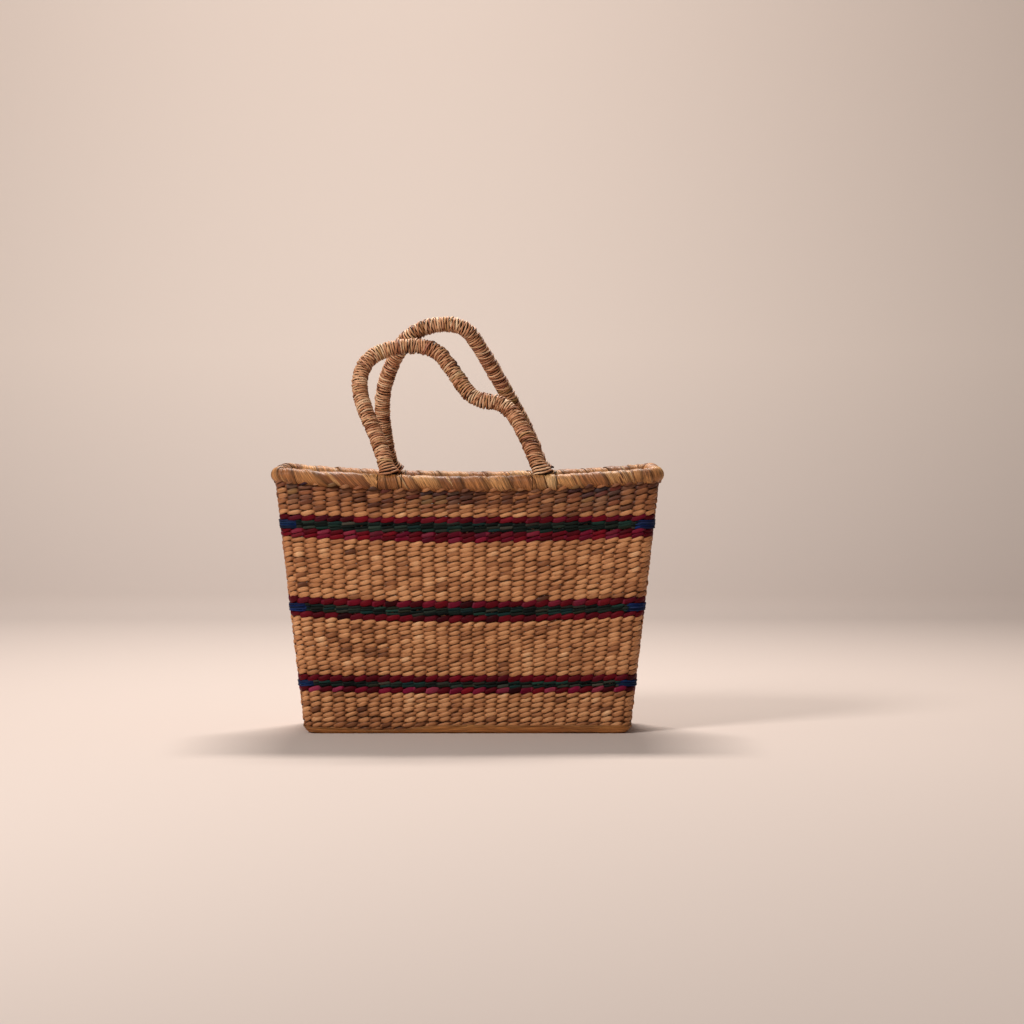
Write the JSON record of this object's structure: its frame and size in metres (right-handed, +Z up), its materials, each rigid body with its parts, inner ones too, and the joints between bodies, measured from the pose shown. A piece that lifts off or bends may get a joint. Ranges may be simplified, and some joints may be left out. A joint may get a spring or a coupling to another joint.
{
  "type": "woven market basket",
  "caption": "Rectangular tapered basket of twined straw with dark stripes, an open mouth with a wrapped rim and hoop handles that swing on the rim, for carrying shopping.",
  "frame": {"origin": "on the floor under the middle of the basket", "axes": "+Z up, +X along the basket, the front wall faces -Y"},
  "size_m": [0.4, 0.1689, 0.4282],
  "materials": {
    "natural_straw": "satin",
    "core_straw": "matte",
    "broad_straw": "satin",
    "wound_straw": "satin",
    "maroon_straw": "satin",
    "green_straw": "satin",
    "blue_straw": "satin"
  },
  "bodies": {
    "basket": {"front_to_back_stakes": "core_straw", "end_to_end_stakes": "core_straw", "corner_stakes": "core_straw", "base_mat": "natural_straw", "base_edge_strand": "broad_straw", "lower_weave": "natural_straw", "lower_middle_weave": "natural_straw", "upper_middle_weave": "natural_straw", "upper_weave": "natural_straw", "lower_stripe_maroon_below": "maroon_straw", "lower_stripe_green": "green_straw", "lower_stripe_blue": "blue_straw", "lower_stripe_maroon_above": "maroon_straw", "middle_stripe_maroon_below": "maroon_straw", "middle_stripe_green": "green_straw", "middle_stripe_blue": "blue_straw", "middle_stripe_maroon_above": "maroon_straw", "upper_stripe_maroon_below": "maroon_straw", "upper_stripe_green": "green_straw", "upper_stripe_blue": "blue_straw", "upper_stripe_maroon_above": "maroon_straw", "rim_core": "core_straw", "rim_wrap_front": "broad_straw", "rim_wrap_back": "broad_straw", "rim_wrap_left": "broad_straw", "rim_wrap_right": "broad_straw"},
    "front_handle": {"front_handle_core": "core_straw", "front_handle_winding": "wound_straw", "front_handle_left_lashing": "wound_straw", "front_handle_right_lashing": "wound_straw"},
    "back_handle": {"back_handle_core": "core_straw", "back_handle_winding": "wound_straw", "back_handle_left_lashing": "wound_straw", "back_handle_right_lashing": "wound_straw"}
  },
  "joints": [
    {"name": "front_handle_swing", "type": "hinge", "parent": "basket", "child": "front_handle", "pos_m": [0, -0.075, 0.258], "axis": [1, 0, 0], "range_deg": [0, 100]},
    {"name": "back_handle_swing", "type": "hinge", "parent": "basket", "child": "back_handle", "pos_m": [0, 0.075, 0.258], "axis": [-1, 0, 0], "range_deg": [0, 100]}
  ]
}
